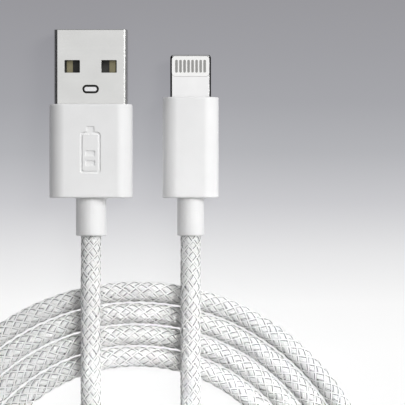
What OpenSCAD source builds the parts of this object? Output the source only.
// Charging cable: a flat four-contact host plug and a slim eight-contact device plug,
// joined by one braided cord whose spare length lies in a flat coil behind them.
// Both plugs lie on the table (z = 0) and point along +Y. The origin is on the table,
// under the middle of the two plugs.

/* [Layout] */
// Distance between the two plugs' centre lines
plug_spacing = 16.3; // [15:0.1:18]
// Length from a strain relief's end to the host plug's mouth
pair_len = 33.7; // [33:0.1:35]

/* [Host plug] */
// Width of the metal shell
shell_w = 12; // [11.8:0.1:12.1]
// Thickness of the metal shell
shell_h = 4.5; // [4.3:0.1:4.6]
// Thickness of the shell's steel sheet
shell_t = 0.3; // [0.25:0.05:0.35]
// Length of shell that stands out of the housing
shell_out = 12.2; // [11.8:0.1:12.6]
// Width of the moulded housing
host_w = 13.6; // [13.4:0.1:15]
// Length of the moulded housing
host_len = 15.3; // [15:0.1:18]
// Thickness of the moulded housing
host_h = 7; // [6.6:0.1:8]
// Diameter of the strain relief
host_relief_d = 5; // [4.6:0.1:5.6]

/* [Device plug] */
// Width of the metal tip
tip_w = 6.7; // [6.6:0.05:6.8]
// Thickness of the metal tip
tip_h = 1.5; // [1.4:0.05:1.6]
// Length of tip that stands out of the housing
tip_out = 7; // [6.6:0.1:7.2]
// Distance from one contact to the next
contact_pitch = 0.66; // [0.6:0.01:0.7]
// Width of the moulded housing
device_w = 9.2; // [8.8:0.1:10]
// Length of the moulded housing
device_len = 16.5; // [16:0.1:17]
// Thickness of the moulded housing
device_h = 5.6; // [5.4:0.1:6.4]
// Diameter of the strain relief
device_relief_d = 4.4; // [4.2:0.1:5]

/* [Cord] */
// Diameter of the braided cord
cord_d = 3.4; // [3.2:0.1:3.5]
// Number of turns lying side by side in the coil
turns = 4; // [4:1:4]
// Distance from one turn to the next
turn_pitch = 3.56; // [3.5:0.02:3.7]

/* [Hidden] */
$fn = 48;
// Small amount by which a cutter runs past the face it opens
over = 0.1;

// Places shared by both plugs, along Y
front_y = pair_len / 2;
relief_y = -pair_len / 2;
housing_back_y = -10.65;
jacket_end_y = -8.6;
crimp_len = 1.6;

// Host plug, in a frame whose Y axis is the plug's centre line
pair_w = plug_spacing + (host_w + device_w) / 2;
host_x = -pair_w / 2 + host_w / 2;
host_z = host_h / 2;
host_face_y = front_y - shell_out;
shell_back_y = -1.9;
shell_r = 0.65;
window_w = 2.5;
window_len = 2.05;
window_x = 3;
window_y = front_y - 6.05;
latch_w = 2.7;
latch_len = 1.4;
latch_y = front_y - 9.75;
stud_gap = 0.35;
stud_z = [0.7, shell_h / 2 - 0.05];
pit_z = 1.2;
block_front_y = front_y - 8.65;
block_back_y = -0.4;
tongue_w = 11.1;
contact_w = 1;
contact_t = 0.25;
contact_sink = 0.1;
host_contact_x = [-3.5, -1, 1, 3.5];
host_contact_front = [0.9, 1.9, 1.9, 0.9];
tail_back_y = -3.4;
host_solder_y = [-3, -1.3];
host_solder_r = 0.5;
mould_w = 12.2;
mould_h = 5.2;
mould_back_y = -9.6;
pocket_z = [-0.8, 1.35];

// Device plug, in a frame whose Y axis is the plug's centre line
device_x = host_x + plug_spacing;
device_z = device_h / 2;
device_face_y = housing_back_y + device_len;
tip_front_y = device_face_y + tip_out;
tip_back_y = 2.6;
tip_r = 0.5;
insert_w = 6.1;
insert_len = 3.3;
insert_y = tip_front_y - 0.25 - insert_len / 2;
insert_r = 0.55;
pad_w = 0.42;
pad_len = 2.1;
pad_t = 0.2;
pad_proud = 0.02;
board_w = 5.2;
board_t = 0.6;
board_y = [-4.2, 8.9];
board_slot_front_y = 9.1;
detent_r = 0.5;
detent_y = tip_front_y - 5.1;
detent_depth = 0.2;
can_w = 7.2;
can_h = 3.6;
can_t = 0.15;
can_y = [-3.4, 2.5];
device_mould_h = 4;
device_mould_w = 7.4;

// Cable inside the plugs
jacket_r = 1.25;
crimp_r = 1.6;
bundle = 0.5;
power_r = 0.45;
data_r = 0.35;
core_r = 0.22;
solder_film = 0.06;

// Charge mark pressed into the host housing
mark_y = -3.3;
mark_w = 3.4;
mark_len = 6.8;
mark_line = 0.45;
mark_depth = 0.2;

// Coil outline: four arcs that run into each other, wide across and flattened at the back
coil_centre = [0.4, -65.3];
coil_front_r = 41;
coil_side_r = 30;
coil_back_half = 20;
coil_shift = coil_front_r - coil_side_r;
coil_back_r = coil_side_r + coil_shift * sin(60) / sin(coil_back_half);
function polar(r, a) = [r * cos(a), r * sin(a)];
// Centre and radius of the outline's arc that holds direction a, for a from 30 to 390
function coil_arc(a) =
    a <= 150 ? [[0, 0], coil_front_r]
    : a <= 270 - coil_back_half ? [polar(coil_shift, 150), coil_side_r]
    : a <= 270 + coil_back_half
        ? [polar(coil_shift, 150) + polar(coil_side_r - coil_back_r, 270 - coil_back_half), coil_back_r]
    : [polar(coil_shift, 30), coil_side_r];
function coil_point(a, depth) =
    coil_centre + coil_arc(a)[0] + polar(coil_arc(a)[1] - depth, a);

// Route of the host lead: off the relief, over the turns, down inside the coil, and round
// to the innermost turn
rest_z = cord_d / 2;
host_route = [
    [host_x, relief_y, host_z], [host_x, -19.5, 3.75], [host_x, -22, 4.35],
    [host_x, -24.5, 4.95], [host_x, -27, 5.15], [host_x, -32, 5.15], [host_x, -37, 5.15],
    [host_x, -41, 4.9], [host_x, -45, 4.15], [host_x, -49, 2.95], [host_x, -53, 2.1],
    [host_x, -57, 1.75], [-6.8, -62, rest_z], [-5.6, -66.5, rest_z], [-1.5, -71.7, rest_z],
    [4.4, -74.8, rest_z], [11.5, -75, rest_z], [17.8, -73.5, rest_z], [21.6, -71.5, rest_z]
];
// Route of the device lead: off the relief, over the turns, down inside the coil, up over
// the back turns, and down on to the outermost turn
device_route = [
    [device_x, relief_y, device_z], [device_x, -19.5, 3.1], [device_x, -22, 3.85],
    [device_x, -24.5, 4.75], [device_x, -27, 5.2], [device_x, -30, 5.25], [device_x, -34, 5.15],
    [device_x, -37.5, 5.1], [device_x, -41.5, 4.7], [device_x, -45.5, 3.65],
    [device_x, -49.5, 2.4], [device_x, -53.5, 1.75], [device_x, -57.5, rest_z],
    [device_x, -61.5, 2.05], [device_x, -65.5, 3.2], [9.1, -69.5, 4.55], [8.1, -74, 5.2],
    [5.5, -78.8, 5.2], [1.9, -82.8, 5.2], [-2.7, -85.7, 5.15], [-7.9, -87.3, 4.7],
    [-13.3, -87.5, 3.2], [-18.8, -86.3, 2]
];

steel = "silver";
moulded = "whitesmoke";
gold = "gold";

// ---- Shared shapes ----

module rounded_rect(w, h, r) {
    square([w - 2 * r, h], center = true);
    square([w, h - 2 * r], center = true);
    for (x = [-1, 1], y = [-1, 1])
        translate([x * (w / 2 - r), y * (h / 2 - r)])
            circle(r);
}

// A bar along Y with a rounded cross-section, from y0 up to y1
module bar(w, h, r, y0, y1) {
    translate([0, y1, 0])
        rotate([90, 0, 0])
            linear_extrude(y1 - y0)
                rounded_rect(w, h, r);
}

// A plain box given by its width, its Y span and its Z span
module slab(w, ys, zs, x = 0) {
    translate([x - w / 2, ys[0], zs[0]])
        cube([w, ys[1] - ys[0], zs[1] - zs[0]]);
}

// A round bar along Y
module rod(r, y0, y1, x = 0, z = 0) {
    translate([x, y1, z])
        rotate([90, 0, 0])
            cylinder(r = r, h = y1 - y0);
}

// A moulded housing's outside: rounded section, with all its end edges eased
module housing_body(w, h, r, y0, y1, ease) {
    mid_y = (y0 + y1) / 2;
    intersection() {
        bar(w, h, r, y0, y1);
        translate([0, mid_y, -h])
            linear_extrude(2 * h)
                rounded_rect(w, y1 - y0, ease);
        translate([-w, mid_y, 0])
            rotate([90, 0, 90])
                linear_extrude(2 * w)
                    rounded_rect(y1 - y0, h, ease);
    }
}

function unit(v) = v / norm(v);
function tube_dir(route, i, first_dir) =
    i == 0 ? first_dir
    : i == len(route) - 1 ? unit(route[i] - route[i - 1])
    : unit(unit(route[i + 1] - route[i]) + unit(route[i] - route[i - 1]));
function tube_ring(centre, dir, r, sides) =
    let (side = unit(cross([0, 0, 1], dir)), up = cross(dir, side))
    [for (k = [0 : sides - 1]) centre + r * (cos(360 * k / sides) * side + sin(360 * k / sides) * up)];

// A tube swept along a route of points, its first face square to first_dir
module tube(route, r, first_dir, sides = 8) {
    n = len(route);
    points = [for (i = [0 : n - 1]) each tube_ring(route[i], tube_dir(route, i, first_dir), r, sides)];
    walls = [
        for (i = [0 : n - 2], k = [0 : sides - 1])
            let (a = i * sides + k, b = i * sides + (k + 1) % sides)
            each [[b + sides, b, a], [a + sides, b + sides, a]]
    ];
    first_cap = [for (k = [0 : sides - 1]) k];
    last_cap = [for (k = [sides - 1 : -1 : 0]) (n - 1) * sides + k];
    polyhedron(points, concat([first_cap, last_cap], walls));
}

// A wire from the cable's cut end at (x0, z0) to a solder place at (x1, z1), with a bare end
module wire(x0, z0, x1, z1, r, end_y, bare_y) {
    span = end_y - jacket_end_y;
    tube([
        [x0, jacket_end_y, z0],
        [x0, jacket_end_y + 0.15 * span, z0],
        [x0 + 0.25 * (x1 - x0), jacket_end_y + 0.35 * span, z0 + 0.25 * (z1 - z0)],
        [x0 + 0.75 * (x1 - x0), jacket_end_y + 0.65 * span, z0 + 0.75 * (z1 - z0)],
        [x1, jacket_end_y + 0.85 * span, z1],
        [x1, end_y, z1]
    ], r, [0, 1, 0]);
    rod(core_r, end_y, bare_y, x1, z1);
}

module in_host() {
    translate([host_x, 0, host_z])
        children();
}

module in_device() {
    translate([device_x, 0, device_z])
        children();
}

// ---- Host plug ----

// Folded steel shell with a latch window pair on each face and the oval locking hole
module host_shell() {
    color(steel) in_host() difference() {
        bar(shell_w, shell_h, shell_r, shell_back_y, front_y);
        bar(shell_w - 2 * shell_t, shell_h - 2 * shell_t, shell_r - shell_t,
            shell_back_y - over, front_y + over);
        for (x = [-window_x, window_x])
            slab(window_w, [window_y - window_len / 2, window_y + window_len / 2], [-shell_h, shell_h], x);
        latch_cut(latch_w, latch_len, [0, shell_h]);
    }
}

// Oval across the plug, used for the locking hole and for the stud that stands in it
module latch_cut(w, len, zs) {
    translate([0, latch_y, zs[0]])
        linear_extrude(zs[1] - zs[0])
            rounded_rect(w, len, len / 2 - 0.01);
}

// Steel stud, set in the insulating block, that stands in the locking hole
module host_lock_stud() {
    color(steel) in_host()
        latch_cut(latch_w - 2 * stud_gap, latch_len - 2 * stud_gap, stud_z);
}

// Insulating block with the tongue that carries the contacts, and a pit round the stud
module host_tongue() {
    inner_w = shell_w - 2 * shell_t - 0.1;
    inner_h = shell_h - 2 * shell_t - 0.1;
    color("dimgray") in_host() difference() {
        union() {
            slab(inner_w - 1, [block_back_y, block_front_y], [-inner_h / 2, inner_h / 2]);
            slab(inner_w, [block_back_y, block_front_y], [-inner_h / 2 + 0.4, inner_h / 2 - 0.4]);
            slab(tongue_w, [block_front_y - over, front_y - 0.35], [-inner_h / 2 + 0.1, 0]);
        }
        latch_cut(latch_w - 2 * stud_gap, latch_len - 2 * stud_gap, [stud_z[0], shell_h]);
        latch_cut(latch_w, latch_len, [pit_z, shell_h]);
        for (i = [0 : 3])
            host_contact_bar(i);
    }
}

module host_contact_bar(i) {
    slab(contact_w, [tail_back_y, front_y - host_contact_front[i]],
        [-contact_sink, contact_t - contact_sink], host_contact_x[i]);
}

module host_contact_power() {
    color(gold) in_host() host_contact_bar(3);
}

module host_contact_data_minus() {
    color(gold) in_host() host_contact_bar(2);
}

module host_contact_data_plus() {
    color(gold) in_host() host_contact_bar(1);
}

module host_contact_ground() {
    color(gold) in_host() host_contact_bar(0);
}

tail_top = contact_t - contact_sink;
host_wire_z = tail_top + solder_film + core_r;

// Solder over each bare wire end and the contact tail below it
module host_solder_joints() {
    color("lightgray") in_host() difference() {
        for (x = host_contact_x)
            rod(host_solder_r, host_solder_y[0], host_solder_y[1], x, host_wire_z);
        slab(mould_w, [tail_back_y, 0], [-1, tail_top]);
        for (x = host_contact_x)
            rod(core_r, tail_back_y, host_solder_y[1] - 0.3, x, host_wire_z);
    }
}

module host_wire(x0, z0, i, r) {
    in_host() wire(x0, z0, host_contact_x[i], host_wire_z, r,
        tail_back_y - 0.1, host_solder_y[1] - 0.3);
}

module host_wire_power() {
    color("red") host_wire(bundle, bundle, 3, power_r);
}

module host_wire_data_minus() {
    color("white") host_wire(bundle, -bundle, 2, data_r);
}

module host_wire_data_plus() {
    color("green") host_wire(-bundle, -bundle, 1, data_r);
}

module host_wire_ground() {
    color("black") host_wire(-bundle, bundle, 0, power_r);
}

// Steel ring squeezed over the shield and jacket
module crimp_ring() {
    difference() {
        rod(crimp_r, jacket_end_y - crimp_len, jacket_end_y);
        rod(jacket_r, jacket_end_y - crimp_len - over, jacket_end_y + over);
    }
}

// Braided cord and its inner jacket, from the relief's mouth to the stripped wires
module cable_end() {
    sleeve_end_y = jacket_end_y - crimp_len;
    rod(cord_d / 2, relief_y, sleeve_end_y);
    difference() {
        rod(jacket_r, sleeve_end_y - over, jacket_end_y);
        rod(jacket_r - 0.25, jacket_end_y - 0.4, jacket_end_y + over);
    }
}

module host_crimp_ring() {
    color(steel) in_host() crimp_ring();
}

module host_cable_end() {
    color(moulded) in_host() cable_end();
}

// Flat pocket that the wires fan out in
module host_pocket() {
    near_w = 8.8;
    far_w = 2.4;
    translate([0, 0, pocket_z[0]])
        linear_extrude(pocket_z[1] - pocket_z[0])
            polygon([
                [-near_w / 2, shell_back_y + over], [near_w / 2, shell_back_y + over],
                [near_w / 2, tail_back_y - 2], [far_w / 2, jacket_end_y],
                [-far_w / 2, jacket_end_y], [-near_w / 2, tail_back_y - 2]
            ]);
}

// First shot of plastic, which locks the wires and the shell together
module host_inner_mould() {
    color("ivory") in_host() difference() {
        bar(mould_w, mould_h, 1.2, mould_back_y, shell_back_y);
        host_pocket();
        rod(crimp_r, mould_back_y - over, jacket_end_y);
    }
}

// Charge symbol: a battery outline with two bars
module charge_mark() {
    difference() {
        rounded_rect(mark_w, mark_len, 0.5);
        rounded_rect(mark_w - 2 * mark_line, mark_len - 2 * mark_line, 0.2);
    }
    translate([0, mark_len / 2 + mark_line])
        square([mark_w * 0.4, 2 * mark_line], center = true);
    for (y = [-1.7, -0.1])
        translate([0, y])
            square([mark_w - 4 * mark_line, 2 * mark_line], center = true);
}

module host_housing() {
    color(moulded) in_host() difference() {
        housing_body(host_w, host_h, 2.4, housing_back_y, host_face_y, 0.45);
        bar(shell_w, shell_h, shell_r, shell_back_y - over, host_face_y + over);
        bar(mould_w, mould_h, 1.2, mould_back_y, shell_back_y);
        rod(cord_d / 2, housing_back_y - over, mould_back_y + over);
        translate([0, mark_y, host_h / 2 - mark_depth])
            linear_extrude(1)
                charge_mark();
    }
}

// Sleeve round the cord behind a housing, with its outer edge rounded
module relief(d) {
    edge = 0.4;
    translate([0, housing_back_y, 0])
        rotate([90, 0, 0])
            rotate_extrude()
                difference() {
                    union() {
                        translate([cord_d / 2, 0])
                            square([(d - cord_d) / 2, housing_back_y - relief_y - edge]);
                        translate([cord_d / 2, 0])
                            square([(d - cord_d) / 2 - edge, housing_back_y - relief_y]);
                        translate([d / 2 - edge, housing_back_y - relief_y - edge])
                            circle(edge);
                    }
                    translate([-1, -1])
                        square([1 + cord_d / 2, 10]);
                }
}

module host_strain_relief() {
    color(moulded) in_host() relief(host_relief_d);
}

// ---- Device plug ----

module contact_x_places() {
    for (i = [-3.5 : 1 : 3.5])
        translate([i * contact_pitch, insert_y, 0])
            children();
}

// Solid steel tip: a frame round the contact window, hollow behind it for the board,
// with a round detent in each side
module device_tip_frame() {
    color(steel) in_device() difference() {
        intersection() {
            bar(tip_w, tip_h, 0.3, tip_back_y, tip_front_y);
            translate([0, (tip_front_y + tip_back_y) / 2, -tip_h])
                linear_extrude(2 * tip_h)
                    rounded_rect(tip_w, tip_front_y - tip_back_y, tip_r);
        }
        translate([0, insert_y, -tip_h])
            linear_extrude(2 * tip_h)
                rounded_rect(insert_w, insert_len, insert_r);
        slab(board_w + 0.1, [tip_back_y - over, board_slot_front_y], [-board_t / 2, board_t / 2]);
        for (s = [-1, 1])
            translate([s * (tip_w / 2 + detent_r - detent_depth), detent_y, 0])
                sphere(r = detent_r);
    }
}

// Contact pads for the face on side s of the tip
module contact_pads(s) {
    z_mid = s * (tip_h / 2 + pad_proud - pad_t / 2);
    contact_x_places()
        translate([0, 0, z_mid - pad_t / 2])
            linear_extrude(pad_t)
                rounded_rect(pad_w, pad_len, pad_w / 2 - 0.01);
}

// Plastic that fills the window and holds the contacts apart
module device_tip_insert() {
    color("white") in_device() difference() {
        translate([0, insert_y, -tip_h / 2])
            linear_extrude(tip_h)
                rounded_rect(insert_w, insert_len, insert_r);
        contact_pads(1);
        contact_pads(-1);
    }
}

module device_contacts_front() {
    color(gold) in_device() contact_pads(1);
}

module device_contacts_back() {
    color(gold) in_device() contact_pads(-1);
}

module device_board() {
    color("darkgreen") in_device() slab(board_w, board_y, [-board_t / 2, board_t / 2]);
}

module device_control_chip() {
    color("black") in_device() slab(2.8, [-0.9, 1.7], [board_t / 2, board_t / 2 + 0.8], -0.6);
}

module device_switch_chip() {
    color("black") in_device() slab(2.2, [-0.8, 1.2], [-board_t / 2 - 0.7, -board_t / 2], 0.3);
}

module device_board_resistors() {
    color("saddlebrown") in_device() for (y = [-0.8, 0.2, 1.2])
        slab(1, [y, y + 0.5], [board_t / 2, board_t / 2 + 0.35], 1.9);
}

// Thin can over the chips, open at both ends
module device_shield_can() {
    color(steel) in_device() difference() {
        bar(can_w, can_h, 0.5, can_y[0], can_y[1]);
        bar(can_w - 2 * can_t, can_h - 2 * can_t, 0.5 - can_t, can_y[0] - over, can_y[1] + over);
    }
}

device_pad_x = 1.7;
device_inner_pad_x = 0.6;
device_wire_y = -4.4;
device_wire_z = board_t / 2 + solder_film + core_r;
device_solder_y = [-4, -2.6];

module device_wire(x0, z0, x1, z1, r) {
    in_device() wire(x0, z0, x1, z1, r, device_wire_y, device_solder_y[1] - 0.3);
}

module device_solder_joints() {
    solder_r = 0.45;
    color("lightgray") in_device() for (s = [-1, 1], x = [-device_pad_x, device_pad_x])
        difference() {
            rod(solder_r, device_solder_y[0], device_solder_y[1], x, s * device_wire_z);
            slab(board_w + 1, board_y, [-board_t / 2, board_t / 2]);
            rod(core_r, device_wire_y, device_solder_y[1] - 0.3, x, s * device_wire_z);
        }
}

module device_wire_power() {
    color("red") device_wire(bundle, bundle, device_pad_x, device_wire_z, data_r);
}

module device_wire_data_minus() {
    color("white") device_wire(bundle, -bundle, device_pad_x, -device_wire_z, data_r);
}

module device_wire_data_plus() {
    color("green") device_wire(-bundle, -bundle, -device_pad_x, -device_wire_z, data_r);
}

module device_wire_ground() {
    color("black") device_wire(-bundle, bundle, -device_pad_x, device_wire_z, data_r);
}

module device_crimp_ring() {
    color(steel) in_device() crimp_ring();
}

module device_cable_end() {
    color(moulded) in_device() cable_end();
}

// First shot of plastic behind the board
module device_inner_mould() {
    color("ivory") in_device() difference() {
        bar(device_mould_w, device_mould_h, 0.9, mould_back_y, can_y[0]);
        slab(5.6, [jacket_end_y, can_y[0] + over], [-1.2, 1.2]);
        rod(crimp_r, mould_back_y - over, jacket_end_y);
    }
}

module device_housing() {
    color(moulded) in_device() difference() {
        housing_body(device_w, device_h, 2.4, housing_back_y, device_face_y, 0.4);
        bar(tip_w, tip_h, 0.3, can_y[1] - over, device_face_y + over);
        bar(can_w, can_h, 0.5, can_y[0] - over, can_y[1]);
        bar(device_mould_w, device_mould_h, 0.9, mould_back_y, can_y[0]);
        rod(cord_d / 2, housing_back_y - over, mould_back_y + over);
    }
}

module device_strain_relief() {
    color(moulded) in_device() relief(device_relief_d);
}

// ---- Cord ----

module host_lead() {
    color("white") tube(host_route, cord_d / 2, [0, -1, 0]);
}

module device_lead() {
    color("white") tube(device_route, cord_d / 2, [0, -1, 0]);
}

// Outer shape of the turns lying side by side on the table
module cord_coil() {
    angles = [for (a = [30 : 6 : 384]) a];
    band = turns * turn_pitch;
    color("white") linear_extrude(cord_d)
        difference() {
            polygon([for (a = angles) coil_point(a, 0)]);
            polygon([for (a = angles) coil_point(a, band)]);
        }
}

host_shell();
host_tongue();
host_lock_stud();
host_contact_power();
host_contact_data_minus();
host_contact_data_plus();
host_contact_ground();
host_solder_joints();
host_wire_power();
host_wire_data_minus();
host_wire_data_plus();
host_wire_ground();
host_crimp_ring();
host_cable_end();
host_inner_mould();
host_housing();
host_strain_relief();
device_tip_frame();
device_tip_insert();
device_contacts_front();
device_contacts_back();
device_board();
device_control_chip();
device_switch_chip();
device_board_resistors();
device_shield_can();
device_solder_joints();
device_wire_power();
device_wire_data_minus();
device_wire_data_plus();
device_wire_ground();
device_crimp_ring();
device_cable_end();
device_inner_mould();
device_housing();
device_strain_relief();
host_lead();
device_lead();
cord_coil();
